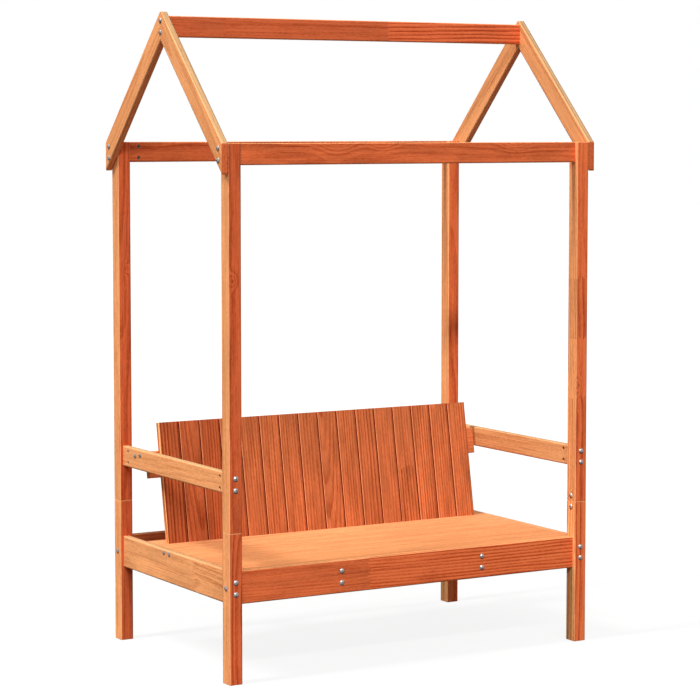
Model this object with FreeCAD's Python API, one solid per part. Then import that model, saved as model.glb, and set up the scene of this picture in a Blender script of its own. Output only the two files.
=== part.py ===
# Garden bench in a house-shaped timber frame, millimetres, +Z up, front towards -Y.
# The origin is on the ground, in the middle of the frame.
import FreeCAD, Part
import math
import os

from FreeCAD import Vector

# Frame, measured over the outer faces of the four corner posts
frame_width = 1162.0
frame_depth = 722.0
post_width = 38.0
post_depth = 42.0
post_top = 1444.0
splice_height = 408.0

# Boards
board_thickness = 19.0
board_width = 58.0
edge_radius = 2.2
end_radius = 1.0
fit_gap = 0.4

# Seat
seat_rail_height = 90.0
seat_top = 305.0
seat_board_thickness = 18.0
seat_rear_gap = 125.6
seat_board_gap = 1.0
seat_board_count = 8
seat_edge_radius = 1.2
bearer_inset = 323.5
cleat_size = 19.0

# Armrests
armrest_top = 568.0

# Backrest
slat_count = 16
slat_gap = 3.6
backrest_side_gap = 33.5
slat_thickness = 18.0
slat_length = 346.0
slat_edge_radius = 1.5
backrest_set_back = 72.9
backrest_lean = 10.0
crosspiece_drop = 17.6
lower_batten_inset = 12.0

# Roof
roof_pitch = 45.0
ridge_drop = 15.0
apex_radius = 4.0

# Bolts, barrel nuts and dowels
bolt_diameter = 6.0
bolt_hole_play = 0.6
bolt_head_diameter = 15.0
bolt_head_height = 4.2
bolt_head_rim = 1.2
bolt_pitch = 32.0
socket_across_flats = 4.0
socket_depth = 2.4
long_bolt = 100.0
medium_bolt = 80.0
short_bolt = 60.0
splice_bolt = 26.0
barrel_nut_diameter = 10.0
barrel_nut_length = 14.0
barrel_nut_play = 0.3
barrel_nut_distance = 32.0
barrel_nut_slot = 1.4
nut_thread_play = 0.1
blind_hole_skin = 2.0
dowel_diameter = 20.0
dowel_length = 100.0
dowel_play = 0.2

# Screws
screw_diameter = 4.0
screw_length = 30.0
screw_head_diameter = 8.0
screw_head_height = 2.4
screw_play = 0.1
frame_screw_diameter = 5.0
frame_screw_length = 50.0
frame_screw_head_diameter = 13.0
frame_screw_head_height = 3.2
frame_screw_pitch = 34.0
hole_overrun = 1.0

# Places worked out from the sizes above
half_width = frame_width / 2
half_depth = frame_depth / 2
post_x = half_width - post_width / 2
post_y = half_depth - post_depth / 2
post_inner_x = half_width - post_width
post_inner_y = half_depth - post_depth
side_inner_x = post_x - board_thickness / 2
rail_inner_y = post_y - board_thickness / 2
seat_rail_bottom = seat_top - seat_rail_height
seat_rail_middle = seat_top - seat_rail_height / 2
seat_board_bottom = seat_top - seat_board_thickness
armrest_bottom = armrest_top - board_width
beam_bottom = post_top - board_width
bolt_hole = bolt_diameter + bolt_hole_play
bearer_x = side_inner_x - bearer_inset
seat_front = -rail_inner_y + fit_gap
seat_rear = rail_inner_y - seat_rear_gap
seat_board_pitch = (seat_rear - seat_front + seat_board_gap) / seat_board_count
seat_board_width = seat_board_pitch - seat_board_gap
backrest_width = 2 * (side_inner_x - backrest_side_gap)
slat_pitch = (backrest_width + slat_gap) / slat_count
slat_width = slat_pitch - slat_gap
backrest_foot = seat_rear - backrest_set_back
lean_cos = math.cos(math.radians(backrest_lean))
lean_sin = math.sin(math.radians(backrest_lean))
batten_back = slat_thickness + board_thickness
crosspiece_rise = armrest_top - crosspiece_drop - seat_top
crosspiece_middle = (crosspiece_rise + (slat_thickness + board_width / 2) * lean_sin) / lean_cos
crosspiece_start = crosspiece_middle - board_thickness / 2
upper_batten_start = crosspiece_start - board_width
apex_height = post_top + half_depth * math.tan(math.radians(roof_pitch))
ridge_top = apex_height - ridge_drop
ridge_middle = ridge_top - board_width / 2

SIDES = (("left", -1), ("right", 1))
ENDS = (("front", -1), ("back", 1))
X_AXIS = Vector(1, 0, 0)
Y_AXIS = Vector(0, 1, 0)
Z_AXIS = Vector(0, 0, 1)

pieces = {}
groups = {}


# Shapes

def box(x0, x1, y0, y1, z0, z1):
    return Part.makeBox(x1 - x0, y1 - y0, z1 - z0, Vector(x0, y0, z0))


def edges_along(shape, axis):
    found = []
    for edge in shape.Edges:
        run = edge.Vertexes[-1].Point - edge.Vertexes[0].Point
        if run.Length > 0 and abs(run.normalize().dot(axis)) > 0.999:
            found.append(edge)
    return found


def board(x0, x1, y0, y1, z0, z1, along, radius):
    """A straight board with its four long edges rounded."""
    shape = box(x0, x1, y0, y1, z0, z1)
    return shape.makeFillet(radius, edges_along(shape, along))


def centred(middle, size):
    return middle - size / 2, middle + size / 2


def facing(point, direction):
    return FreeCAD.Placement(point, FreeCAD.Rotation(Z_AXIS, direction))


def rod(start, direction, length, diameter):
    return Part.makeCylinder(diameter / 2, length, start, direction)


def cut_from(names, tool):
    for name in names:
        pieces[name] = pieces[name].cut(tool)


def add_to(group, shape):
    groups.setdefault(group, []).append(shape)


# Fasteners

def domed_head(diameter, height, rim):
    """A turned head whose flat underside lies at the origin, facing down."""
    radius = diameter / 2
    crown = Vector(0, 0, height)
    shoulder = Vector(radius, 0, rim)
    between = Vector(radius * 0.62, 0, rim + (height - rim) * 0.72)
    profile = Part.Wire([
        Part.LineSegment(Vector(0, 0, 0), Vector(radius, 0, 0)).toShape(),
        Part.LineSegment(Vector(radius, 0, 0), shoulder).toShape(),
        Part.Arc(shoulder, between, crown).toShape(),
        Part.LineSegment(crown, Vector(0, 0, 0)).toShape(),
    ])
    return Part.Face(profile).revolve(Vector(0, 0, 0), Z_AXIS, 360)


def hex_socket(head_height):
    corner = socket_across_flats / 2 / math.cos(math.pi / 6)
    points = []
    for step in range(7):
        angle = step * math.pi / 3
        points.append(Vector(corner * math.cos(angle), corner * math.sin(angle), 0))
    prism = Part.Face(Part.makePolygon(points)).extrude(Vector(0, 0, socket_depth + hole_overrun))
    prism.translate(Vector(0, 0, head_height - socket_depth))
    return prism


def headed_pin(length, diameter, head_diameter, head_height, rim):
    head = domed_head(head_diameter, head_height, rim).cut(hex_socket(head_height))
    shank = Part.makeCylinder(diameter / 2, length, Vector(0, 0, -length))
    return head.fuse(shank).removeSplitter()


def countersunk_screw():
    """A wood screw whose flat head lies flush, with the top at the origin."""
    head = Part.makeCone(screw_diameter / 2, screw_head_diameter / 2, screw_head_height,
                         Vector(0, 0, -screw_head_height))
    shank = Part.makeCylinder(screw_diameter / 2, screw_length, Vector(0, 0, -screw_length))
    across = screw_head_diameter * 0.55
    slot = screw_head_diameter * 0.14
    cross = box(*centred(0, across), *centred(0, slot), -slot, hole_overrun)
    cross = cross.fuse(box(*centred(0, slot), *centred(0, across), -slot, hole_overrun))
    return head.fuse(shank).removeSplitter().cut(cross)


def barrel_nut():
    """A cross dowel along Z, bored through for its bolt along X."""
    nut = Part.makeCylinder(barrel_nut_diameter / 2, barrel_nut_length,
                            Vector(0, 0, -barrel_nut_length / 2))
    bore = rod(Vector(-barrel_nut_diameter, 0, 0), X_AXIS, 2 * barrel_nut_diameter,
               bolt_diameter + nut_thread_play)
    slot = box(*centred(0, barrel_nut_slot), *centred(0, 2 * barrel_nut_diameter),
               barrel_nut_length / 2 - barrel_nut_slot, barrel_nut_length)
    return nut.cut(bore).cut(slot)


def place_nut(centre, bolt_direction, opening):
    nut = barrel_nut()
    side = opening.cross(bolt_direction)
    matrix = FreeCAD.Matrix(bolt_direction.x, side.x, opening.x, centre.x,
                            bolt_direction.y, side.y, opening.y, centre.y,
                            bolt_direction.z, side.z, opening.z, centre.z,
                            0, 0, 0, 1)
    nut.Placement = FreeCAD.Placement(matrix)
    add_to("barrel_nuts", nut)


def nut_hole(centre, opening, through):
    """The hole for a barrel nut, open towards one face or through both."""
    back = board_thickness / 2 - blind_hole_skin
    if through:
        back = board_thickness / 2 + hole_overrun
    length = back + board_thickness / 2 + hole_overrun
    return rod(centre - opening * back, opening, length, barrel_nut_diameter + barrel_nut_play)


def bolt_joint(group, length, head, direction, passed, held, reach, opening, through=False):
    """A bolt through the passed pieces into a barrel nut in the held piece.

    head is the point under the head, reach the way from there to the nut, and
    opening the side of the held board from which the nut is dropped in.
    """
    bolt = headed_pin(length, bolt_diameter, bolt_head_diameter, bolt_head_height, bolt_head_rim)
    bolt.Placement = facing(head, direction * -1)
    add_to(group, bolt)
    hole = rod(head - direction * hole_overrun, direction, length + 2 * hole_overrun, bolt_hole)
    cut_from(list(passed) + [held], hole)
    nut_centre = head + direction * reach
    cut_from([held], nut_hole(nut_centre, opening, through))
    place_nut(nut_centre, direction, opening)


def wood_screw(head, direction, names):
    """A countersunk screw, its head flush in the first of the named pieces."""
    screw = countersunk_screw()
    screw.Placement = facing(head, direction * -1)
    add_to("wood_screws", screw)
    hole = rod(head, direction, screw_length + screw_play, screw_diameter + 2 * screw_play)
    sink = Part.makeCone(screw_head_diameter / 2 + screw_play, screw_diameter / 2 + screw_play,
                         screw_head_height, head, direction)
    cut_from(names, hole.fuse(sink))


def frame_screw(head, direction, names):
    """A dome headed screw that holds a cross board by its end."""
    screw = headed_pin(frame_screw_length, frame_screw_diameter, frame_screw_head_diameter,
                       frame_screw_head_height, bolt_head_rim)
    screw.Placement = facing(head, direction * -1)
    add_to("frame_screws", screw)
    hole = rod(head - direction * hole_overrun, direction, frame_screw_length + 2 * hole_overrun,
               frame_screw_diameter + 2 * screw_play)
    cut_from(names, hole)


# Posts, each spliced from a leg and an upper post over a hidden dowel

def corner_post(x, y, z0, z1):
    shape = box(*centred(x, post_width), *centred(y, post_depth), z0, z1)
    shape = shape.makeFillet(edge_radius, edges_along(shape, Z_AXIS))
    rims = [e for e in shape.Edges if abs(e.BoundBox.ZMax - e.BoundBox.ZMin) < 0.01]
    return shape.makeChamfer(end_radius, rims)


def make_posts():
    for side, sx in SIDES:
        for end, sy in ENDS:
            leg = "leg_%s_%s" % (end, side)
            post = "post_%s_%s" % (end, side)
            x = sx * post_x
            y = sy * post_y
            pieces[leg] = corner_post(x, y, 0, splice_height)
            pieces[post] = corner_post(x, y, splice_height, post_top)
            join_post(leg, post, x, y, sx)


def join_post(leg, post, x, y, sx):
    start = Vector(x, y, splice_height - dowel_length / 2)
    socket = rod(start - Z_AXIS * dowel_play, Z_AXIS, dowel_length + 2 * dowel_play,
                 dowel_diameter + 2 * dowel_play)
    cut_from([leg, post], socket)
    dowel = rod(start, Z_AXIS, dowel_length, dowel_diameter)
    for step in (-1, 1):
        head = Vector(sx * post_inner_x, y, splice_height + step * bolt_pitch / 2)
        inward = X_AXIS * sx
        bolt = headed_pin(splice_bolt, bolt_diameter, bolt_head_diameter, bolt_head_height,
                          bolt_head_rim)
        bolt.Placement = facing(head, inward * -1)
        add_to("splice_bolts", bolt)
        wood_hole = rod(head - inward * hole_overrun, inward, splice_bolt + 2 * hole_overrun, bolt_hole)
        cut_from([post if step > 0 else leg], wood_hole)
        tight = rod(head, inward, splice_bolt + hole_overrun, bolt_diameter + nut_thread_play)
        dowel = dowel.cut(tight)
    add_to("post_dowels", dowel)


# Seat frame

def make_seat_frame():
    for end, sy in ENDS:
        pieces["seat_rail_" + end] = board(
            -post_inner_x, post_inner_x, *centred(sy * post_y, board_thickness),
            seat_rail_bottom, seat_top, X_AXIS, edge_radius)
    for side, sx in SIDES:
        pieces["seat_rail_" + side] = board(
            *centred(sx * post_x, board_thickness), -post_inner_y, post_inner_y,
            seat_rail_bottom, seat_top, Y_AXIS, edge_radius)
        pieces["seat_bearer_" + side] = board(
            *centred(sx * bearer_x, board_thickness), -rail_inner_y, rail_inner_y,
            seat_board_bottom - board_width, seat_board_bottom, Y_AXIS, seat_edge_radius)


def bolt_seat_frame():
    for side, sx in SIDES:
        for end, sy in ENDS:
            leg = "leg_%s_%s" % (end, side)
            bolt_joint("medium_bolts", medium_bolt, Vector(sx * half_width, sy * post_y, seat_rail_middle),
                       X_AXIS * -sx, [leg], "seat_rail_" + end, post_width + barrel_nut_distance,
                       Y_AXIS * -sy)
            for step in (-1, 1):
                z = seat_rail_middle + step * bolt_pitch / 2
                bolt_joint("medium_bolts", medium_bolt, Vector(sx * post_x, sy * half_depth, z),
                           Y_AXIS * -sy, [leg], "seat_rail_" + side,
                           post_depth + barrel_nut_distance, X_AXIS * -sx)
                rail_face = sy * (post_y + board_thickness / 2)
                bolt_joint("short_bolts", short_bolt, Vector(sx * bearer_x, rail_face, z),
                           Y_AXIS * -sy, ["seat_rail_" + end], "seat_bearer_" + side,
                           board_thickness + barrel_nut_distance, X_AXIS * -sx)


# Seat boards on end cleats and bearers

def seat_board_start(index):
    return seat_front + index * seat_board_pitch


def make_seat():
    reach = side_inner_x - fit_gap
    for index in range(seat_board_count):
        y0 = seat_board_start(index)
        shape = board(-reach, reach, y0, y0 + seat_board_width,
                      seat_board_bottom, seat_top, X_AXIS, seat_edge_radius)
        pieces["seat_board_%d" % (index + 1)] = shape
    for side, sx in SIDES:
        corner = box(*sorted((sx * (post_inner_x - fit_gap), sx * half_width)),
                     -half_depth, -post_inner_y + fit_gap, 0, post_top)
        cut_from(["seat_board_1"], corner)
        x0, x1 = sorted((sx * side_inner_x, sx * (side_inner_x - cleat_size)))
        pieces["seat_cleat_" + side] = board(
            x0, x1, -post_inner_y + fit_gap, seat_rear, seat_board_bottom - cleat_size, seat_board_bottom,
            Y_AXIS, seat_edge_radius)
        screw_seat(side, sx)


def screw_seat(side, sx):
    cleat = "seat_cleat_" + side
    x = sx * (side_inner_x - cleat_size / 2)
    for index in range(seat_board_count):
        middle = seat_board_start(index) + seat_board_width / 2
        wood_screw(Vector(x, middle, seat_board_bottom - cleat_size), Z_AXIS,
                   [cleat, "seat_board_%d" % (index + 1)])
    for index in range(1, seat_board_count, 2):
        joint = seat_board_start(index) - seat_board_gap / 2
        wood_screw(Vector(sx * (side_inner_x - cleat_size), joint, seat_board_bottom - cleat_size / 2),
                   X_AXIS * sx, [cleat, "seat_rail_" + side])
    held = seat_board_count - 3
    middle = seat_board_start(held) + seat_board_width / 2
    for step in (-1, 1):
        head = Vector(sx * (post_x + board_thickness / 2), middle + step * frame_screw_pitch / 2,
                      seat_top - seat_board_thickness / 2)
        frame_screw(head, X_AXIS * -sx, ["seat_rail_" + side, "seat_board_%d" % (held + 1)])


# Armrests

def make_armrests():
    for side, sx in SIDES:
        name = "armrest_" + side
        pieces[name] = board(*centred(sx * post_x, board_thickness), -post_inner_y, post_inner_y,
                             armrest_bottom, armrest_top, Y_AXIS, edge_radius)
        for end, sy in ENDS:
            for step in (-1, 1):
                z = armrest_bottom + board_width / 2 + step * bolt_pitch / 2
                bolt_joint("medium_bolts", medium_bolt, Vector(sx * post_x, sy * half_depth, z),
                           Y_AXIS * -sy, ["post_%s_%s" % (end, side)], name,
                           post_depth + barrel_nut_distance, X_AXIS * -1, through=True)


# Backrest, laid out flat with its length up, then leaned back about its foot

def leaned(shape):
    shape.rotate(Vector(0, 0, 0), X_AXIS, -backrest_lean)
    shape.translate(Vector(0, backrest_foot, seat_top))
    return shape


def leaned_point(x, back, up):
    return Vector(x, backrest_foot + back * lean_cos + up * lean_sin,
                  seat_top + up * lean_cos - back * lean_sin)


def leaned_direction(back, up):
    return leaned_point(0, back, up) - leaned_point(0, 0, 0)


def trim_to_seat(shape):
    below = box(-half_width, half_width, -half_depth, half_depth, 0, seat_top)
    return shape.cut(below)


def make_backrest():
    foot_allowance = batten_back
    for index in range(slat_count):
        x0 = -backrest_width / 2 + index * slat_pitch
        slat = leaned(board(x0, x0 + slat_width, 0, slat_thickness, -foot_allowance, slat_length,
                            Z_AXIS, slat_edge_radius))
        pieces["backrest_slat_%02d" % (index + 1)] = trim_to_seat(slat)
    reach = side_inner_x - fit_gap
    pieces["backrest_upper_batten"] = leaned(board(
        -reach, reach, slat_thickness, batten_back, upper_batten_start, crosspiece_start,
        X_AXIS, slat_edge_radius))
    pieces["backrest_crosspiece"] = leaned(board(
        -reach, reach, slat_thickness, slat_thickness + board_width,
        crosspiece_start, crosspiece_start + board_thickness, X_AXIS, slat_edge_radius))
    half = backrest_width / 2 - lower_batten_inset
    lower = leaned(board(-half, half, slat_thickness, batten_back, -foot_allowance, board_width,
                         X_AXIS, slat_edge_radius))
    pieces["backrest_lower_batten"] = trim_to_seat(lower)


def screw_backrest():
    batten_middle = slat_thickness + board_thickness / 2
    forward = leaned_direction(-1, 0)
    for index in range(slat_count):
        x = -backrest_width / 2 + slat_width / 2 + index * slat_pitch
        slat = "backrest_slat_%02d" % (index + 1)
        wood_screw(leaned_point(x, batten_back, upper_batten_start + board_width / 2), forward,
                   ["backrest_upper_batten", slat])
        wood_screw(leaned_point(x, batten_back, board_width * 0.6), forward,
                   ["backrest_lower_batten", slat])
    for share in (-0.82, -0.41, 0, 0.41, 0.82):
        x = share * backrest_width / 2
        wood_screw(leaned_point(x, batten_middle, crosspiece_start + board_thickness),
                   leaned_direction(0, -1), ["backrest_crosspiece", "backrest_upper_batten"])
        foot = backrest_foot + batten_middle / lean_cos
        wood_screw(Vector(x, foot, seat_board_bottom), Z_AXIS,
                   ["seat_board_%d" % seat_board_count, "backrest_lower_batten"])
    for side, sx in SIDES:
        for step in (-1, 1):
            back = slat_thickness + board_width / 2 + step * frame_screw_pitch / 2
            head = leaned_point(sx * (post_x + board_thickness / 2), back,
                                crosspiece_start + board_thickness / 2)
            frame_screw(head, X_AXIS * -sx, ["armrest_" + side, "backrest_crosspiece"])


# Roof: two beams, two pairs of rafters and the ridge

def rafter_outline(sy):
    """The board from its upright tail at the post to the upright cut at the ridge."""
    drop = board_width / math.cos(math.radians(roof_pitch))
    return [Vector(0, sy * half_depth, post_top), Vector(0, 0, apex_height),
            Vector(0, 0, apex_height - drop), Vector(0, sy * half_depth, post_top - drop)]


def make_rafter(sx, sy):
    corners = rafter_outline(sy)
    outline = Part.makePolygon(corners + corners[:1])
    shape = Part.Face(outline).extrude(X_AXIS * (sx * board_thickness))
    shape.translate(X_AXIS * (sx * half_width))
    slope = (corners[1] - corners[0]).normalize()
    shape = shape.makeFillet(edge_radius, edges_along(shape, slope))
    flat = apex_radius * math.tan(math.radians(roof_pitch))
    blunt = box(*centred(sx * (half_width + board_thickness / 2), 2 * board_thickness),
                -half_depth, half_depth, apex_height - flat, apex_height + flat)
    return shape.cut(blunt)


def make_roof():
    for end, sy in ENDS:
        pieces["top_beam_" + end] = board(
            -post_inner_x, post_inner_x, *centred(sy * post_y, board_thickness),
            beam_bottom, post_top, X_AXIS, edge_radius)
    pieces["ridge_beam"] = board(-half_width, half_width, *centred(0, board_thickness),
                                 ridge_top - board_width, ridge_top, X_AXIS, edge_radius)
    for side, sx in SIDES:
        for end, sy in ENDS:
            pieces["rafter_%s_%s" % (end, side)] = make_rafter(sx, sy)


def bolt_roof():
    outer = half_width + board_thickness
    for side, sx in SIDES:
        inward = X_AXIS * -sx
        for step in (-1, 1):
            for end, sy in ENDS:
                z = beam_bottom + board_width / 2 + step * bolt_pitch / 2
                names = ["rafter_%s_%s" % (end, side), "post_%s_%s" % (end, side)]
                bolt_joint("long_bolts", long_bolt, Vector(sx * outer, sy * post_y, z), inward, names,
                           "top_beam_" + end, board_thickness + post_width + barrel_nut_distance,
                           Y_AXIS * -sy)
            z = ridge_middle + step * bolt_pitch / 2
            names = ["rafter_front_" + side, "rafter_back_" + side]
            bolt_joint("short_bolts", short_bolt, Vector(sx * outer, 0, z), inward, names,
                       "ridge_beam", board_thickness + barrel_nut_distance, Y_AXIS)


def save_all():
    os.makedirs("parts", exist_ok=True)
    for name in sorted(pieces):
        pieces[name].exportStep("parts/%s.step" % name)
    for name in sorted(groups):
        Part.makeCompound(groups[name]).exportStep("parts/%s.step" % name)


make_posts()
make_seat_frame()
bolt_seat_frame()
make_seat()
make_armrests()
make_backrest()
screw_backrest()
make_roof()
bolt_roof()
save_all()
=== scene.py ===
"""Stained timber and zinc plated fasteners for a garden bench in a house-shaped frame."""

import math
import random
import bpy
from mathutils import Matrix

bl_info = {
    "name": "House Frame Garden Bench",
    "version": (1, 0, 0),
    "blender": (4, 5, 0),
    "location": "View3D > Sidebar > Garden Bench",
    "description": "Finishes the boards and fasteners of a garden bench and sets its stage",
    "category": "Material",
}

import bpy
from bpy.props import FloatProperty, FloatVectorProperty, PointerProperty
from mathutils import Vector

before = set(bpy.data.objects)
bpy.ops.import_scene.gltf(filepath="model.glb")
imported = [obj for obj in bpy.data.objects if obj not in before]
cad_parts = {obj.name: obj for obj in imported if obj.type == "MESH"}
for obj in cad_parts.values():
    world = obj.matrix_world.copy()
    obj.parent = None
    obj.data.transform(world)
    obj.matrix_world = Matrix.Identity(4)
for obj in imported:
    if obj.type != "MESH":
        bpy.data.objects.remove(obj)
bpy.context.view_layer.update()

SIDES = ("left", "right")
X_AXIS = Vector((1, 0, 0))
Y_AXIS = Vector((0, 1, 0))
Z_AXIS = Vector((0, 0, 1))
BACKREST_LEAN = math.radians(10)


# Node trees

class Wire:
    """One output socket. Arithmetic on wires adds Math or Vector Math nodes."""

    def __init__(self, tree, socket):
        self.tree = tree
        self.socket = socket

    def is_vector(self):
        return self.socket.type in ("VECTOR", "RGBA")

    def __add__(self, other):
        return self.tree.maths("ADD", self, other)

    def __radd__(self, other):
        return self.tree.maths("ADD", other, self)

    def __sub__(self, other):
        return self.tree.maths("SUBTRACT", self, other)

    def __rsub__(self, other):
        return self.tree.maths("SUBTRACT", other, self)

    def __mul__(self, other):
        return self.tree.maths("MULTIPLY", self, other)

    def __rmul__(self, other):
        return self.tree.maths("MULTIPLY", other, self)

    def __truediv__(self, other):
        return self.tree.maths("DIVIDE", self, other)

    def __rtruediv__(self, other):
        return self.tree.maths("DIVIDE", other, self)

    def __abs__(self):
        return self.tree.maths("ABSOLUTE", self)

    def dot(self, direction):
        return self.tree.node("ShaderNodeVectorMath", {"operation": "DOT_PRODUCT"},
                              {0: self, 1: direction}, "Value")


class NodeTree:
    """The node tree of a material or of the world, written as expressions."""

    def __init__(self, holder):
        holder.use_nodes = True
        self.nodes = holder.node_tree.nodes
        self.links = holder.node_tree.links
        self.nodes.clear()

    def node(self, kind, settings=None, sockets=None, output=0):
        """Add a node, set it up, feed its sockets and hand back one output."""
        made = self.nodes.new(kind)
        for key, value in (settings or {}).items():
            setattr(made, key, value)
        for key, value in (sockets or {}).items():
            if isinstance(value, Wire):
                self.links.new(value.socket, made.inputs[key])
            else:
                made.inputs[key].default_value = value
        if not made.outputs:
            return None
        return Wire(self, made.outputs[output])

    def maths(self, operation, *terms):
        vectors = [term for term in terms if isinstance(term, Wire) and term.is_vector()]
        kind = "ShaderNodeVectorMath" if vectors else "ShaderNodeMath"
        sockets = dict(enumerate(terms))
        if vectors:
            for key, term in sockets.items():
                if isinstance(term, (int, float)):
                    sockets[key] = (term, term, term)
        return self.node(kind, {"operation": operation}, sockets)

    def clamp(self, value):
        return self.node("ShaderNodeClamp", None, {"Value": value})

    def smooth_step(self, value, low, high):
        """0 below low, 1 above high and an even curve between them."""
        return self.node("ShaderNodeMapRange", {"interpolation_type": "SMOOTHSTEP"},
                         {"Value": value, "From Min": low, "From Max": high})

    def mix(self, share, first, second, blend="MIX"):
        """Mix two colours and keep the result from growing brighter than white."""
        settings = {"data_type": "RGBA", "blend_type": blend, "clamp_result": True}
        return self.node("ShaderNodeMix", settings, {0: share, 6: first, 7: second}, 2)

    def mix_values(self, share, first, second):
        return self.node("ShaderNodeMix", None, {0: share, 2: first, 3: second})

    def vector(self, x, y, z):
        return self.node("ShaderNodeCombineXYZ", None, {0: x, 1: y, 2: z})

    def noise(self, place, detail=2.0, roughness=0.5):
        """Noise round 0 with waves about 1 long."""
        return self.node("ShaderNodeTexNoise", None,
                         {"Vector": place, "Scale": 1.0, "Detail": detail,
                          "Roughness": roughness}) - 0.5

    def bump(self, relief):
        """Tilt the surface by a relief in metres."""
        return self.node("ShaderNodeBump", None,
                         {"Strength": 1.0, "Distance": 1.0, "Height": relief})


def new_tree(name):
    material = bpy.data.materials.new(name)
    return material, NodeTree(material)


def opaque(colour):
    return (*colour, 1)


# Timber

# Each pattern in the grain: waves per metre along and across it, detail and roughness of the noise
SWAY = (1.8, 8, 2.0, 0.5)
RIPPLE = (8, 40, 2.0, 0.5)
STREAKS = (4, 260, 3.0, 0.7)
FLECKS = (80, 380, 2.0, 0.6)
FIBRES = (25, 1100, 2.0, 0.6)
CLOUDS = (4, 14, 2.0, 0.5)
MOTTLE = (12, 45, 2.0, 0.5)

# Turn of a face towards an axis, 1 where it is square to it: where a stain starts and is full
FRONT_TURN = (0.55, 0.95)
TOP_TURN = (0.5, 0.7)
GAP_SHADE_TURN = (0.8, 0.98)
END_TURN = (0.75, 0.95)

EDGE_SHARPNESS = 4.0
KNOT_HEART = (0.3, 0.55)
NO_TINT = (1.0, 1.0, 1.0)


class Board:
    """Where a board lies, how it was sawn and how its stain turned out.

    A board is glued up from one or more lengths, which meet in finger joints. Values that
    differ from length to length are given as a tuple, in the order of the lengths.
    joints: places of the finger joints along the board, from its middle
    knots: place along and across the board and size of each knot
    rings: strength of the year rings
    tone, side_tone: brightness of the front and back faces, and of all others, where the second
    also paints light and shade onto the side faces
    redness: share of the redder stain on the front and back faces
    side_tint, front_tint: what this board's own colour does to the two stains
    bleach: how far the upward faces are painted a paler yellow, as a painted highlight
    uneven: strength of the clouds and mottles in the stain
    gap_shade: whether the two faces square to across are painted dark red as shade in the gaps
    between slats, the lower one first
    sway: how far the year rings wander, in metres
    """

    # Place and drift of the pith beside the board and width of a year, in metres: least and most
    sawing = {
        "pith_across": (-0.04, 0.04),
        "pith_through": (0.03, 0.09),
        "pith_tilt": (-0.02, 0.02),
        "pith_rise": (-0.02, 0.02),
        "ring_width": (0.005, 0.008),
    }
    noise_reach = 40

    def __init__(self, node, along, across, seed, joints=(), knots=(), rings=0.4, tone=1.0,
                 side_tone=None, redness=1.0, side_tint=NO_TINT, front_tint=NO_TINT, bleach=0.0,
                 uneven=1.0, gap_shade=(False, False), sway=0.020, **sawn):
        self.node = node
        self.along = along.normalized()
        self.across = across.normalized()
        self.through = self.along.cross(self.across)
        self.joints = joints
        self.knots = knots
        self.rings = self.each(rings)
        self.tone = self.each(tone)
        self.side_tone = self.tone[0] if side_tone is None else side_tone
        self.redness = redness
        self.side_tint = side_tint
        self.front_tint = front_tint
        self.bleach = bleach
        self.uneven = uneven
        self.gap_shade = gap_shade
        self.sway = sway
        self.measure()
        dice = random.Random(seed)
        self.shift = Vector([dice.uniform(-self.noise_reach, self.noise_reach) for _ in range(3)])
        for key, (least, most) in self.sawing.items():
            drawn = dice.uniform(least, most)
            setattr(self, key, self.each(sawn.get(key, drawn)))

    def measure(self):
        """Find the board's middle and half its length, width and thickness."""
        corners = [corner.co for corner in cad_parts[self.node].data.vertices]
        self.middle = Vector((0, 0, 0))
        self.halves = []
        for axis in (self.along, self.across, self.through):
            reach = [corner.dot(axis) for corner in corners]
            self.middle += axis * (min(reach) + max(reach)) / 2
            self.halves.append((max(reach) - min(reach)) / 2)

    def each(self, value):
        """One value for every length of the board."""
        return value if isinstance(value, tuple) else (value,) * (len(self.joints) + 1)


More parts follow.
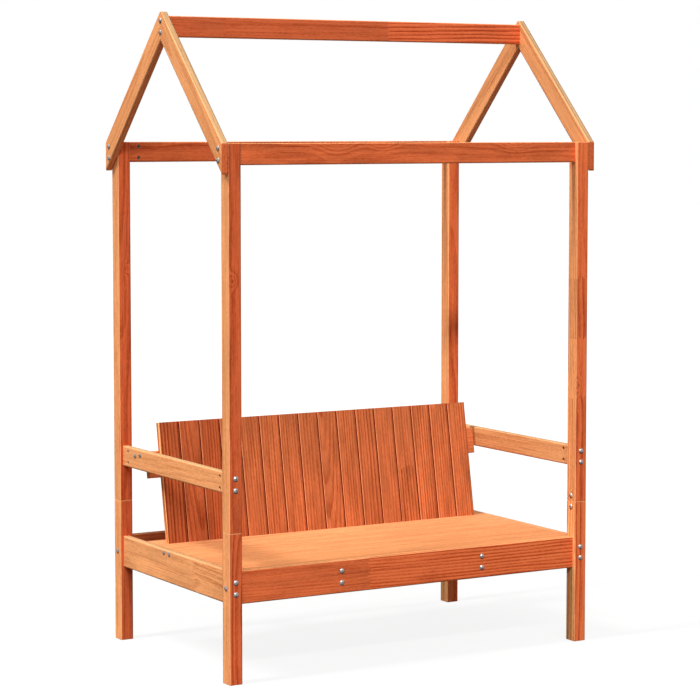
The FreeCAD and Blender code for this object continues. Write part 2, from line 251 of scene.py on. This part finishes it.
class Grain:
    """The places and patterns in a board that its shader draws on.

    Sizes are in metres. The places in a year are shares of it.
    """

    finger_pitch = 0.006
    finger_length = 0.012
    length_gap = 3.7
    edge_width = 0.0035
    ripple_size = 0.003
    latewood_starts = (0.2, 0.85)
    latewood_ends = (0.88, 1.0)
    weakest_year = 0.5
    knot_stretch = 1.5
    knot_parting = 2.0
    parting_falloff = 0.35

    def __init__(self, tree, board):
        self.tree = tree
        self.board = board
        here = tree.node("ShaderNodeTexCoord", None, None, "Object") - board.middle
        self.along = here.dot(board.along)
        self.across = here.dot(board.across)
        self.through = here.dot(board.through)
        zigzag = tree.maths("PINGPONG", self.across, self.finger_pitch)
        fingers = self.along + zigzag * (self.finger_length / self.finger_pitch)
        self.past_joint = [tree.maths("GREATER_THAN", fingers, joint) for joint in board.joints]
        self.length_number = sum(self.past_joint, 0.0)
        self.knots = [(knot[2], self.knot_distance(*knot)) for knot in board.knots]

    def by_length(self, values):
        """The value of the length that a point lies in."""
        result = values[0]
        for past, value in zip(self.past_joint, values[1:]):
            if value != result:
                result = self.tree.mix_values(past, result, value)
        return result

    def noise(self, pattern):
        """Noise of a pattern, another stretch of it in each length of the board."""
        along, across, detail, roughness = pattern
        place = self.tree.vector((self.along + self.length_number * self.length_gap) * along,
                                 self.across * across, self.through * across)
        return self.tree.noise(place + self.board.shift, detail, roughness)

    def rounding(self):
        """2 in the middle of a face, falling off softly towards the board's long edges."""
        falls = [self.tree.smooth_step(half - abs(place), 0.0, self.edge_width)
                 for place, half in zip((self.across, self.through), self.board.halves[1:])]
        return falls[0] + falls[1]

    def knot_distance(self, along, across, size):
        """Distance from the middle of a knot, 1 at its rim. It is longer than it is wide."""
        far = (self.along - along) / (self.knot_stretch * size)
        aside = (self.across - across) / size
        return self.tree.maths("SQRT", far * far + aside * aside)

    def rings(self):
        """Year rings round a pith that runs nearly along the board, 1 in the dark latewood.

        The rings wander, ripple and part round the knots. A year darkens slowly and ends sharply.
        """
        tree = self.tree
        board = self.board
        side = self.across - self.by_length(board.pith_across)
        side = side + self.along * self.by_length(board.pith_tilt)
        depth = self.through - self.by_length(board.pith_through)
        depth = depth + self.along * self.by_length(board.pith_rise)
        radius = tree.maths("SQRT", side * side + depth * depth)
        radius = radius + self.noise(SWAY) * board.sway + self.noise(RIPPLE) * self.ripple_size
        for size, distance in self.knots:
            parting = tree.maths("EXPONENT", distance * distance * -self.parting_falloff)
            radius = radius + parting * (self.knot_parting * size)
        years = radius / self.by_length(board.ring_width)
        year = tree.maths("FLOOR", years)
        season = years - year
        strength = tree.node("ShaderNodeTexWhiteNoise", {"noise_dimensions": "1D"}, {"W": year})
        late = tree.smooth_step(season, *self.latewood_starts)
        late = late * (1 - tree.smooth_step(season, *self.latewood_ends))
        return late * (self.weakest_year + strength * (1 - self.weakest_year))


def tinted(colour, tint):
    return [part * share for part, share in zip(colour, tint)]


def stain_by_face(tree, board, timber, normal, fronts):
    """The stain, with light painted by facing: redder and dimmer in front and behind, paler on the
    sides, and a paler yellow painted highlight on top.
    """
    side = opaque(tinted(timber.lit_side_stain, board.side_tint))
    front = opaque(tinted(timber.dimmer_front_stain, board.front_tint))
    stain = tree.mix(fronts * board.redness, side, front)
    # Painted highlight: the upward faces turn a paler yellow.
    if board.bleach:
        tops = tree.smooth_step(normal.dot(Z_AXIS), *TOP_TURN)
        stain = tree.mix(tops * board.bleach, stain, opaque(timber.bleached))
    return stain


def worn_and_highlit_edges(tree, board, normal):
    """1 on the rounded edges, 0 on faces that are square to the board or the ground."""
    squarest = abs(normal.dot(Y_AXIS))
    for axis in (Z_AXIS, board.along, board.across, board.through):
        squarest = tree.maths("MAXIMUM", squarest, abs(normal.dot(axis)))
    return tree.clamp((1 - squarest) * EDGE_SHARPNESS)


def marked(tree, board, timber, grain, normal, colour):
    """Lay the painted shade in the slat gaps, the hearts of knots, end grain and the pale edges,
    worn and with a painted highlight, over the colour.
    """
    # Painted shade: the slats' faces inside the gaps between them turn dark red.
    for sign, gap_shade in zip((-1, 1), board.gap_shade):
        if gap_shade:
            inside = tree.smooth_step(normal.dot(board.across) * sign, *GAP_SHADE_TURN)
            colour = tree.mix(inside, colour, opaque(timber.gap_shade_colour))
    for size, distance in grain.knots:
        heart = 1 - tree.smooth_step(distance, *KNOT_HEART)
        colour = tree.mix(heart * timber.knot_depth, colour, opaque(timber.knot_colour))
    end_grain = tree.smooth_step(abs(normal.dot(board.along)), *END_TURN)
    colour = tree.mix(end_grain * timber.end_depth, colour, opaque(timber.knot_colour))
    # Pale rounded edges: partly wear, partly a painted highlight.
    pale_edges = worn_and_highlit_edges(tree, board, normal) * timber.edge_wear_and_highlight
    return tree.mix(pale_edges, colour, opaque(timber.edge_wear_and_highlight_colour))


def stained_timber(board, timber):
    """Pine under an orange brown stain, with rings, streaks and fibres, light and shade painted by
    facing, and pale rounded edges that are worn and carry a painted highlight.
    """
    material, tree = new_tree(board.node + "_stain")
    grain = Grain(tree, board)
    normal = tree.node("ShaderNodeTexCoord", None, None, "Normal")
    # Light painted by facing: the front and back faces take the dimmer, redder stain and tone, and
    # the others the paler lit ones.
    fronts = tree.smooth_step(abs(normal.dot(Y_AXIS)), *FRONT_TURN)
    rings = grain.rings()
    fibres = grain.noise(FIBRES)
    clouds = grain.noise(CLOUDS)
    stain = stain_by_face(tree, board, timber, normal, fronts)
    dark = tree.mix(1.0, stain, opaque(timber.latewood), "MULTIPLY")
    depth = tree.clamp(timber.base_depth + rings * grain.by_length(board.rings)
                       + grain.noise(STREAKS) * timber.streak_depth
                       + grain.noise(FLECKS) * timber.fleck_depth
                       + fibres * timber.fibre_depth + clouds * timber.cloud_depth)
    patches = clouds * timber.clouding + grain.noise(MOTTLE) * timber.mottling
    # The side faces' tone also paints light and shade onto them.
    tone = tree.mix_values(fronts, board.side_tone, grain.by_length(board.tone))
    colour = tree.mix(depth, stain, dark) * (1 + patches * board.uneven) * tone
    colour = marked(tree, board, timber, grain, normal, colour)
    relief = (grain.rounding() * timber.edge_relief + fibres * timber.fibre_relief
              - rings * timber.ring_relief)
    roughness = (timber.roughness + fibres * timber.fibre_roughness
                 + rings * timber.ring_roughness)
    surface = tree.node("ShaderNodeBsdfPrincipled", None,
                        {"Base Color": colour, "Roughness": roughness,
                         "Normal": tree.bump(relief), "Specular IOR Level": timber.gloss})
    tree.node("ShaderNodeOutputMaterial", None, {"Surface": surface})
    return material


def bare_wood(board, timber):
    """Pale unstained wood with fine rings and fibres."""
    material, tree = new_tree(board.node + "_wood")
    grain = Grain(tree, board)
    fibres = grain.noise(FIBRES)
    depth = tree.clamp(grain.rings() * grain.by_length(board.rings) + fibres * timber.fibre_depth)
    colour = tree.mix(depth, opaque(timber.bare_wood), opaque(timber.bare_latewood))
    surface = tree.node("ShaderNodeBsdfPrincipled", None,
                        {"Base Color": colour,
                         "Roughness": timber.roughness + fibres * timber.fibre_roughness,
                         "Normal": tree.bump(fibres * timber.fibre_relief)})
    tree.node("ShaderNodeOutputMaterial", None, {"Surface": surface})
    return material


def paint(node, material):
    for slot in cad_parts[node].material_slots:
        slot.material = material


def stain_board(context, node, along, across, seed, **look):
    board = Board(node, along, across, seed, **look)
    paint(node, stained_timber(board, context.scene.bench_timber))


def nodes_named(start):
    return sorted(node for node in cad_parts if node.startswith(start))


# Metal

# Where the plating goes from its painted dark, standing for reflections and shade, to its clean
# colour
PAINTED_DARK_RANGE = (-0.60, 0.30)


def zinc_plate(name, metal, shade):
    """Zinc plated steel with painted dark reflections in blotches and painted shade on the faces
    turned down.
    """
    material, tree = new_tree(name)
    here = tree.node("ShaderNodeTexCoord", None, None, "Object")
    blotches = tree.noise(here * metal.blotches, roughness=0.6)
    spangles = tree.noise(here * metal.spangles)
    # Painted shade: faces turned down are darker, and faces turned up lighter.
    up = tree.node("ShaderNodeTexCoord", None, None, "Normal").dot(Z_AXIS)
    lightness = up * metal.upward_lightening + blotches * metal.blotch_depth + spangles * metal.spangle_depth
    bright_share = tree.smooth_step(lightness, *PAINTED_DARK_RANGE)
    # The dark plating is painted reflection and shade.
    low = opaque([shade * part for part in metal.zinc_painted_dark])
    high = opaque([shade * part for part in metal.zinc_light])
    surface = tree.node("ShaderNodeBsdfPrincipled", None,
                        {"Base Color": tree.mix(bright_share, low, high), "Metallic": 1.0,
                         "Roughness": metal.roughness + (0.5 - bright_share) * metal.dark_roughness,
                         "Normal": tree.bump(spangles * metal.spangle_relief)})
    tree.node("ShaderNodeOutputMaterial", None, {"Surface": surface})
    return material


# Settings

def colour_property(name, description, default):
    return FloatVectorProperty(name=name, description=description, default=default,
                               subtype="COLOR", min=0.0, max=1.0)


def share_property(name, description, default):
    return FloatProperty(name=name, description=description, default=default,
                         subtype="FACTOR", min=0.0, max=1.0)


def strength_property(name, description, default):
    return FloatProperty(name=name, description=description, default=default, min=0.0)


def length_property(name, description, default):
    return FloatProperty(name=name, description=description, default=default, unit="LENGTH",
                         precision=5)


def place_property(name, description, default):
    return FloatVectorProperty(name=name, description=description, default=default,
                               subtype="TRANSLATION", unit="LENGTH")


def angle_property(name, description, degrees):
    return FloatProperty(name=name, description=description, default=math.radians(degrees),
                         subtype="ANGLE", unit="ROTATION")


def power_property(name, description, default):
    return FloatProperty(name=name, description=description, default=default, min=0.0,
                         unit="POWER")


class TimberSettings(bpy.types.PropertyGroup):
    # Light painted by facing: the paler lit stain stands for the harder-lit sides and tops, and
    # the dimmer front stain for the less-lit front and back faces.
    lit_side_stain: colour_property("Side stain", "Stain on the faces to the sides and on top",
                                (0.86, 0.370, 0.147))
    dimmer_front_stain: colour_property("Front stain", "Redder stain on the front and back faces",
                                 (0.91, 0.193, 0.063))
    # Painted highlight: a paler yellow on the upward faces.
    bleached: colour_property("Bleached stain", "Stain gone yellow on the upward faces",
                              (0.63, 0.38, 0.185))
    # Painted shade: dark red in the gaps between the slats.
    gap_shade_colour: colour_property("Pooled stain", "Stain that gathered between the backrest slats",
                                  (0.45, 0.010, 0.0))
    latewood: colour_property("Latewood", "Tint of the dark year rings and streaks over the stain",
                              (0.50, 0.30, 0.20))
    knot_colour: colour_property("Knot colour", "Hearts of knots and end grain",
                                 (0.30, 0.065, 0.018))
    # Pale rounded edges: partly wear, partly a painted highlight.
    edge_wear_and_highlight_colour: colour_property("Edge colour", "Paler stain on the rounded edges",
                                 (1.0, 0.54, 0.26))
    bare_wood: colour_property("Bare wood", "Unstained wood of the dowels", (0.62, 0.43, 0.25))
    bare_latewood: colour_property("Bare latewood", "Darker rings in the unstained wood",
                                   (0.45, 0.27, 0.13))
    base_depth: strength_property("Base depth", "Darkening of the whole face", 0.1)
    streak_depth: strength_property("Streak depth", "Strength of the long streaks", 1.8)
    fleck_depth: strength_property("Fleck depth", "Strength of the short flecks", 1.1)
    fibre_depth: strength_property("Fibre depth", "Strength of the fine fibres", 0.35)
    cloud_depth: strength_property("Cloud depth", "Strength of the wide dark clouds", 0.25)
    clouding: strength_property("Clouding", "How the wide clouds change the brightness", 0.45)
    mottling: strength_property("Mottling", "How the narrow mottles change the brightness", 0.3)
    knot_depth: share_property("Knot depth", "Darkness of a knot's heart", 0.6)
    end_depth: share_property("End grain depth", "Darkness of the sawn ends", 0.3)
    # Pale rounded edges: partly wear, partly a painted highlight.
    edge_wear_and_highlight: share_property("Edge wear", "How much the rounded edges are paler", 0.7)
    edge_relief: length_property("Edge relief", "Fall of a face towards its long edges", 0.002)
    fibre_relief: length_property("Fibre relief", "Height of the fibres", 0.00005)
    ring_relief: length_property("Ring relief", "Depth of the latewood below the face", 0.00009)
    roughness: share_property("Roughness", "Roughness of the satin stain", 0.65)
    fibre_roughness: strength_property("Fibre roughness", "Roughness added by the fibres", 0.16)
    ring_roughness: strength_property("Ring roughness", "Roughness added by the latewood", 0.06)
    gloss: share_property("Gloss", "Strength of the satin reflection", 0.02)


class MetalSettings(bpy.types.PropertyGroup):
    zinc_light: colour_property("Zinc light", "Clean plating", (0.38, 0.355, 0.345))
    # Painted dark reflections and shade on the plating.
    zinc_painted_dark: colour_property("Zinc dark", "Plating under dirt", (0.060, 0.045, 0.040))
    # Painted shade: the nuts and screws sunk in their holes are darker.
    nut_painted_shade: share_property("Nut shade", "Brightness of the sunken nuts and screws", 0.3)
    # Painted reflection: the bolts at the seams are made paler.
    splice_painted_reflection: strength_property("Splice shade", "Brightness of the cleaner bolts at the seams",
                                    1.6)
    roughness: share_property("Roughness", "Roughness of the plating", 0.42)
    # Painted dark reflections in blotches and painted shade on faces turned down are set by the
    # blotches, the upward lightening and the dark roughness. The spangles are the plating's own.
    blotches: strength_property("Blotches", "Blotches of dirt per metre", 260.0)
    spangles: strength_property("Spangles", "Fine spangles per metre", 1500.0)
    upward_lightening: strength_property("Rain", "How much cleaner the upward faces are", 0.9)
    blotch_depth: strength_property("Blotch depth", "Strength of the blotches", 1.6)
    spangle_depth: strength_property("Spangle depth", "Strength of the spangles", 0.3)
    dark_roughness: strength_property("Dirt roughness", "Roughness added by dirt", 0.2)
    spangle_relief: length_property("Spangle relief", "Height of the spangles", 0.00001)


class StageSettings(bpy.types.PropertyGroup):
    camera_place: place_property("Camera place", "Where the camera stands",
                                 (-3.5645, -6.0815, 1.4849))
    camera_turn: angle_property("Camera turn", "Turn of the view to the right of straight ahead",
                                30.384)
    camera_tilt: angle_property("Camera tilt", "Tilt of the view below the horizon", 4.37)
    lens: FloatProperty(name="Lens", description="Focal length in millimetres on a 36 mm sensor",
                        default=126.1, min=1.0)
    shift: FloatProperty(name="Shift", default=-0.05,
                         description="Share of the frame that the view is shifted up")
    side_panel_place: place_property("Side panel place", "Middle of the panel high on the left",
                                     (-18.6, 0.0, 25.5))
    side_panel_width: length_property("Side panel width", "Width of the side panel", 3.5)
    side_panel_height: length_property("Side panel height", "Height of the side panel", 11.2)
    side_panel_power: power_property("Side panel power", "Power of the side panel", 9900.0)
    front_panel_place: place_property("Front panel place", "Middle of the long panel in front",
                                      (-13.0, -30.0, 26.1))
    front_panel_width: length_property("Front panel width", "Width of the front panel", 30.0)
    front_panel_height: length_property("Front panel height", "Height of the front panel", 2.8)
    front_panel_power: power_property("Front panel power", "Power of the front panel", 10900.0)
    panel_aim: length_property("Panel aim", "Height that both panels face", 0.9)
    back_lamp: strength_property("Back lamp", "Strength of the weak lamp behind on the right", 0.9)
    back_lamp_spread: angle_property("Back lamp spread", "Apparent size of the back lamp", 30.0)
    back_lamp_direction: FloatVectorProperty(name="Back lamp direction",
                                             description="Where the back lamp's light goes",
                                             default=(-0.8, -1.0, -0.25), subtype="DIRECTION")
    sky: strength_property("Sky", "Strength of the even light from all round", 0.36)
    floor_reach: length_property("Floor reach", "From the bench to the floor's sides", 30.0)
    floor_grey: share_property("Floor grey", "How much of the lamps' light the floor returns", 0.1)
    floor_glow: share_property("Floor glow", "Glow of the floor close to the bench", 0.88)
    glow_start: length_property("Glow start", "Where the floor starts to turn white", 2.0)
    glow_end: length_property("Glow end", "Where the floor is white", 6.0)


# Boards

class BENCH_OT_posts(bpy.types.Operator):
    """Stain the four legs and the four posts that stand on them"""
    bl_idname = "bench.posts"
    bl_label = "Legs and Posts"

    def execute(self, context):
        left = {"tone": 0.95, "side_tone": 1.04, "front_tint": (1.0, 0.92, 0.94), "rings": 0.55}
        looks = {
            "leg_front_left": {"seed": 101, **left, "tone": 1.01, "side_tone": 1.13, "rings": 0.7},
            "post_front_left": {"seed": 102, **left, "tone": 0.92,
                                "knots": ((0.155, -0.007, 0.007),)},
            "leg_back_left": {"seed": 103, **left, "side_tone": 1.15},
            "post_back_left": {"seed": 104, **left, "tone": 0.90,
                               "knots": ((0.155, 0.002, 0.006),)},
            # Painted light: the high tones of this leg brighten its faces, which lie in the shade
            # under the seat.
            "leg_front_right": {"seed": 105, "rings": 0.9, "ring_width": 0.009, "tone": 1.24,
                                "side_tone": 1.46, "redness": 0.93},
            "post_front_right": {"seed": 106, "joints": (-0.21, -0.037, 0.136),
                                 "knots": ((-0.18, -0.010, 0.008),),
                                 "rings": (0.9, 0.5, 0.8, 0.4), "tone": (1.15, 1.17, 1.10, 1.17),
                                 "side_tone": 1.13},
            # Painted light: the high tones of this leg brighten its faces, which lie in the shade
            # under the seat.
            "leg_back_right": {"seed": 107, "rings": 0.7, "tone": 1.45, "side_tone": 1.5},
            "post_back_right": {"seed": 108, "rings": 0.7, "tone": 1.06, "side_tone": 1.23},
        }
        for node, look in looks.items():
            stain_board(context, node, Z_AXIS, X_AXIS, **look)
        return {"FINISHED"}


class BENCH_OT_seat_frame(bpy.types.Operator):
    """Stain the rails, bearers and cleats that carry the seat"""
    bl_idname = "bench.seat_frame"
    bl_label = "Seat Frame"

    def execute(self, context):
        stain_board(context, "seat_rail_front", X_AXIS, Z_AXIS, 201, joints=(-0.135,),
                    rings=(0.35, 0.9), ring_width=(0.006, 0.009), pith_across=(0.02, 0.10),
                    pith_through=(0.05, 0.03), tone=(1.03, 1.17), side_tone=1.25, uneven=1.5)
        stain_board(context, "seat_rail_back", X_AXIS, Z_AXIS, 202, tone=0.62, redness=0.8)
        stain_board(context, "seat_rail_left", Y_AXIS, Z_AXIS, 203, joints=(-0.128,),
                    rings=(0.5, 0.25), ring_width=(0.006, 0.012), bleach=0.8)
        stain_board(context, "seat_rail_right", Y_AXIS, Z_AXIS, 204, bleach=0.2)
        for index, side in enumerate(SIDES):
            stain_board(context, "seat_bearer_" + side, Y_AXIS, Z_AXIS, 205 + index)
            stain_board(context, "seat_cleat_" + side, Y_AXIS, Z_AXIS, 207 + index)
        return {"FINISHED"}


class BENCH_OT_seat_boards(bpy.types.Operator):
    """Stain the boards of the seat, a little yellower from the front to the back"""
    bl_idname = "bench.seat_boards"
    bl_label = "Seat Boards"

    def execute(self, context):
        for index, node in enumerate(nodes_named("seat_board_")):
            tint = (1.10, 1.03 + 0.010 * index, 1.0 + 0.022 * index)
            stain_board(context, node, X_AXIS, Y_AXIS, 301 + index, rings=0.3,
                        tone=0.79 + 0.018 * index, side_tint=tint, uneven=0.7)
        return {"FINISHED"}


class BENCH_OT_armrests(bpy.types.Operator):
    """Stain the two armrests"""
    bl_idname = "bench.armrests"
    bl_label = "Armrests"

    def execute(self, context):
        stain_board(context, "armrest_left", Y_AXIS, Z_AXIS, 401, rings=0.2, bleach=0.9,
                    uneven=0.6)
        stain_board(context, "armrest_right", Y_AXIS, Z_AXIS, 402, rings=0.3, bleach=0.5,
                    tone=0.91, side_tint=(0.93, 1.02, 1.07), uneven=0.5)
        return {"FINISHED"}


class BENCH_OT_backrest(bpy.types.Operator):
    """Stain the leaning slats, the battens and the crosspiece behind them"""
    bl_idname = "bench.backrest"
    bl_label = "Backrest"

    def execute(self, context):
        up = Vector((0, math.sin(BACKREST_LEAN), math.cos(BACKREST_LEAN)))
        # gap_shade paints the slats' faces in the gaps dark red, as shade.
        usual = {"tone": 0.74, "redness": 0.66, "gap_shade": (True, True), "rings": 0.6,
                 "ring_width": 0.0075, "pith_across": 0.11, "pith_through": 0.05, "sway": 0.010,
                 "uneven": 2.0}
        looks = {
            "backrest_slat_01": {"tone": 0.61, "side_tone": 1.35, "redness": 0.84, "rings": 1.1,
                                 "ring_width": 0.0095, "gap_shade": (False, True)},
            "backrest_slat_02": {"tone": 0.63, "redness": 0.86, "rings": 0.6, "pith_across": 0.020,
                                 "pith_through": 0.036, "pith_rise": 0.05},
            "backrest_slat_03": {"tone": 0.60, "redness": 0.91, "rings": 0.8},
            "backrest_slat_04": {"tone": 0.61, "redness": 0.80},
            "backrest_slat_05": {"tone": 0.70},
            "backrest_slat_08": {"tone": 0.72, "pith_across": 0.05},
            "backrest_slat_09": {"tone": 0.65, "rings": 0.6, "pith_across": -0.020,
                                 "pith_through": 0.032, "pith_rise": 0.08},
            "backrest_slat_10": {"tone": 0.72},
            "backrest_slat_11": {"tone": 0.70, "rings": 0.9, "pith_across": 0.06},
            "backrest_slat_12": {"tone": 0.72, "rings": 0.45},
            "backrest_slat_13": {"tone": 0.735, "joints": (-0.005,), "rings": (0.95, 0.5),
                                 "ring_width": (0.009, 0.008)},
            "backrest_slat_14": {"tone": 0.79, "rings": 0.8},
            "backrest_slat_15": {"tone": 0.81, "rings": 0.7},
            "backrest_slat_16": {"tone": 0.79, "gap_shade": (True, False)},
        }
        for index, node in enumerate(nodes_named("backrest_slat_")):
            look = {**usual, **looks.get(node, {})}
            stain_board(context, node, up, X_AXIS, 501 + index, **look)
        stain_board(context, "backrest_upper_batten", X_AXIS, up, 531, redness=0.55)
        stain_board(context, "backrest_lower_batten", X_AXIS, up, 532)
        stain_board(context, "backrest_crosspiece", X_AXIS, Y_AXIS, 533, redness=0.5)
        return {"FINISHED"}


class BENCH_OT_roof(bpy.types.Operator):
    """Stain the top beams, the rafters and the ridge"""
    bl_idname = "bench.roof"
    bl_label = "Roof"

    def execute(self, context):
        stain_board(context, "top_beam_front", X_AXIS, Z_AXIS, 601, rings=0.5, ring_width=0.014,
                    pith_across=-0.02, pith_through=0.03, pith_tilt=0.035, sway=0.05, uneven=1.6,
                    knots=((-0.243, 0.036, 0.020), (-0.098, 0.036, 0.016), (0.336, 0.036, 0.018)))
        stain_board(context, "top_beam_back", X_AXIS, Z_AXIS, 602, tone=0.84, rings=0.7)
        stain_board(context, "ridge_beam", X_AXIS, Z_AXIS, 603, joints=(-0.401, 0.131),
                    rings=(0.3, 0.45, 1.0), ring_width=(0.007, 0.02, 0.010),
                    pith_across=(0.0, -0.04, 0.06), pith_through=(0.05, 0.03, 0.03),
                    tone=(0.84, 0.89, 1.17), front_tint=(1.0, 1.0, 1.08))
        rafters = (("front_left", 1, 0.96), ("front_right", 1, 0.89), ("back_left", -1, 0.96),
                   ("back_right", -1, 0.96))
        for index, (corner, step, tone) in enumerate(rafters):
            stain_board(context, "rafter_" + corner, Vector((0, step, 1)), Vector((0, -step, 1)),
                        604 + index, rings=0.35, bleach=1.0, tone=tone, uneven=0.5)
        return {"FINISHED"}


class BENCH_OT_dowels(bpy.types.Operator):
    """Give the dowels in the post seams plain unstained wood"""
    bl_idname = "bench.dowels"
    bl_label = "Dowels"

    def execute(self, context):
        board = Board("post_dowels", Z_AXIS, X_AXIS, 701, rings=0.3)
        paint("post_dowels", bare_wood(board, context.scene.bench_timber))
        return {"FINISHED"}


# Fasteners

class BENCH_OT_fasteners(bpy.types.Operator):
    """Plate the bolts, barrel nuts and screws with zinc"""
    bl_idname = "bench.fasteners"
    bl_label = "Fasteners"

    def execute(self, context):
        metal = context.scene.bench_metal
        bright = zinc_plate("bolt_zinc", metal, 1.0)
        # Painted shade: the nuts and screws sunk in their holes are darker.
        shaded_in_holes = zinc_plate("nut_zinc_shaded", metal, metal.nut_painted_shade)
        for node in ("long_bolts", "medium_bolts", "short_bolts", "frame_screws"):
            paint(node, bright)
        for node in ("barrel_nuts", "wood_screws"):
            paint(node, shaded_in_holes)
        # Painted reflection: the bolts at the seams are made paler.
        paint("splice_bolts", zinc_plate("splice_zinc_reflection", metal, metal.splice_painted_reflection))
        return {"FINISHED"}


# Stage

def add_object(name, data, place=(0, 0, 0)):
    made = bpy.data.objects.new(name, data)
    made.location = place
    bpy.context.scene.collection.objects.link(made)
    return made


def face_along(holder, direction):
    """Turn a lamp so that it shines in a direction."""
    holder.rotation_mode = "QUATERNION"
    holder.rotation_quaternion = direction.to_track_quat("-Z", "Y")


def add_lamp(name, direction, strength, spread):
    """A distant soft lamp that leaves no glints."""
    lamp = bpy.data.lights.new(name, "SUN")
    lamp.energy = strength
    lamp.angle = spread
    holder = add_object(name, lamp)
    holder.visible_glossy = False
    face_along(holder, direction)


def add_panel(name, place, target, width, height, power):
    """A flat lamp that faces its target."""
    lamp = bpy.data.lights.new(name, "AREA")
    lamp.shape = "RECTANGLE"
    lamp.size = width
    lamp.size_y = height
    lamp.energy = power
    holder = add_object(name, lamp, place)
    face_along(holder, target - place)


def background_seen(tree):
    """1 for what the camera, a reflection or a clear surface sees of the stage."""
    camera, glossy, through = [tree.node("ShaderNodeLightPath", None, None, "Is %s Ray" % kind)
                               for kind in ("Camera", "Glossy", "Transmission")]
    return tree.maths("MAXIMUM", tree.maths("MAXIMUM", camera, glossy), through)


def white_floor(stage):
    """Paper that looks white, keeps a soft shadow and throws little light back up."""
    material, tree = new_tree("floor_paper")
    place = tree.node("ShaderNodeTexCoord", None, None, "Object")
    distance = tree.node("ShaderNodeVectorMath", {"operation": "LENGTH"}, {0: place}, "Value")
    whiter = tree.smooth_step(distance, stage.glow_start, stage.glow_end)
    glow = (stage.floor_glow + whiter * (1 - stage.floor_glow)) * background_seen(tree)
    shaded = tree.node("ShaderNodeBsdfDiffuse", None, {"Color": opaque([stage.floor_grey] * 3)})
    lit = tree.node("ShaderNodeEmission", None, {"Color": glow, "Strength": 1.0})
    both = tree.node("ShaderNodeAddShader", None, {0: shaded, 1: lit})
    tree.node("ShaderNodeOutputMaterial", None, {"Surface": both})
    return material


def add_floor(stage):
    reach = stage.floor_reach
    mesh = bpy.data.meshes.new("floor")
    corners = [(-reach, -reach, 0), (reach, -reach, 0), (reach, reach, 0), (-reach, reach, 0)]
    mesh.from_pydata(corners, [], [(0, 1, 2, 3)])
    mesh.materials.append(white_floor(stage))
    add_object("floor", mesh)


def add_sky(strength):
    world = bpy.data.worlds.new("studio")
    bpy.context.scene.world = world
    tree = NodeTree(world)
    brightness = tree.mix_values(background_seen(tree), strength, 1.0)
    light = tree.node("ShaderNodeBackground", None,
                      {"Color": (1, 1, 1, 1), "Strength": brightness})
    tree.node("ShaderNodeOutputWorld", None, {"Surface": light})


def add_camera(stage):
    camera = bpy.data.cameras.new("camera")
    camera.lens = stage.lens
    camera.shift_y = stage.shift
    holder = add_object("camera", camera, stage.camera_place)
    holder.rotation_euler = (math.pi / 2 - stage.camera_tilt, 0, -stage.camera_turn)
    bpy.context.scene.camera = holder


class BENCH_OT_stage(bpy.types.Operator):
    """Set the floor, the lamps, the even sky and the camera"""
    bl_idname = "bench.stage"
    bl_label = "Stage"

    def execute(self, context):
        stage = context.scene.bench_stage
        side = stage.side_panel_place.copy()
        front = stage.front_panel_place.copy()
        add_floor(stage)
        add_sky(stage.sky)
        add_panel("side_panel", side, Vector((0, side.y, stage.panel_aim)),
                  stage.side_panel_width, stage.side_panel_height, stage.side_panel_power)
        add_panel("front_panel", front, Vector((front.x, 0, stage.panel_aim)),
                  stage.front_panel_width, stage.front_panel_height, stage.front_panel_power)
        add_lamp("back_lamp", stage.back_lamp_direction, stage.back_lamp,
                 stage.back_lamp_spread)
        add_camera(stage)
        context.scene.view_settings.view_transform = "Standard"
        return {"FINISHED"}


# Panel and registration

class BENCH_PT_panel(bpy.types.Panel):
    """Buttons for each group of parts, and the settings of their finish and stage"""
    bl_idname = "BENCH_PT_panel"
    bl_label = "Garden Bench"
    bl_space_type = "VIEW_3D"
    bl_region_type = "UI"
    bl_category = "Garden Bench"

    def draw(self, context):
        for operator in OPERATORS:
            self.layout.operator(operator.bl_idname)
        for settings in SETTINGS:
            group = getattr(context.scene, settings)
            for key in group.__annotations__:
                self.layout.prop(group, key)


SETTINGS = {
    "bench_timber": TimberSettings,
    "bench_metal": MetalSettings,
    "bench_stage": StageSettings,
}
OPERATORS = (
    BENCH_OT_posts,
    BENCH_OT_seat_frame,
    BENCH_OT_seat_boards,
    BENCH_OT_armrests,
    BENCH_OT_backrest,
    BENCH_OT_roof,
    BENCH_OT_dowels,
    BENCH_OT_fasteners,
    BENCH_OT_stage,
)


def register():
    for kind in (*SETTINGS.values(), *OPERATORS, BENCH_PT_panel):
        bpy.utils.register_class(kind)
    for key, kind in SETTINGS.items():
        setattr(bpy.types.Scene, key, PointerProperty(type=kind))


def unregister():
    for key in SETTINGS:
        delattr(bpy.types.Scene, key)
    for kind in reversed((*SETTINGS.values(), *OPERATORS, BENCH_PT_panel)):
        bpy.utils.unregister_class(kind)


def main():
    register()
    for operator in OPERATORS:
        group, call = operator.bl_idname.split(".")
        getattr(getattr(bpy.ops, group), call)()


if __name__ == "__main__":
    main()
